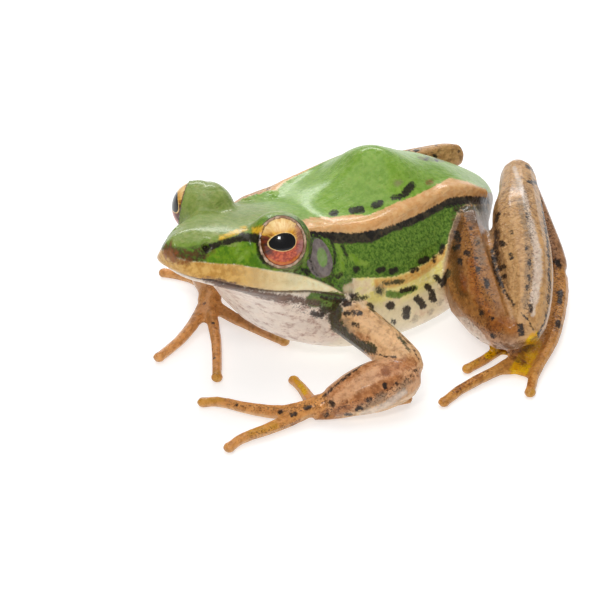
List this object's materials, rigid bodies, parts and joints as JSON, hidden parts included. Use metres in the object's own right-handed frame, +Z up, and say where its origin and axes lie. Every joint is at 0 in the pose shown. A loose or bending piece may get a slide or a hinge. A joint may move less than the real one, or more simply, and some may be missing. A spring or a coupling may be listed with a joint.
{
  "type": "frog model",
  "caption": "Life-size still model of a seated frog with its head raised, large lifted eyes, a humped back, folded hind legs and long slim fingers and webbed toes.",
  "frame": {"origin": "centre of the animal's box on the floor", "axes": "+Z up, -Y the way the frog looks, +X to its left"},
  "size_m": [0.0574, 0.0634, 0.0238],
  "materials": {
    "skin_back": "wet gloss, grass green with dark spots and a bronze fold along each side",
    "skin_belly": "wet gloss, cream with brown mottling",
    "skin_limbs": "wet gloss, orange brown with dark spots",
    "eye": "high gloss, golden and orange iris with a black pupil",
    "eardrum": "semi-gloss, grey brown"
  },
  "bodies": {
    "root": {"head": "skin_back", "torso": "skin_back", "lower_jaw": "skin_belly", "eye_left": "eye", "eye_right": "eye", "eardrum_left": "eardrum", "eardrum_right": "eardrum", "upper_arm_left": "skin_limbs", "upper_arm_right": "skin_limbs", "forearm_left": "skin_limbs", "forearm_right": "skin_limbs", "hand_left": "skin_limbs", "hand_right": "skin_limbs", "thigh_left": "skin_limbs", "thigh_right": "skin_limbs", "shank_left": "skin_limbs", "shank_right": "skin_limbs", "tarsus_left": "skin_limbs", "tarsus_right": "skin_limbs", "foot_left": "skin_limbs", "foot_right": "skin_limbs"}
  },
  "joints": []
}
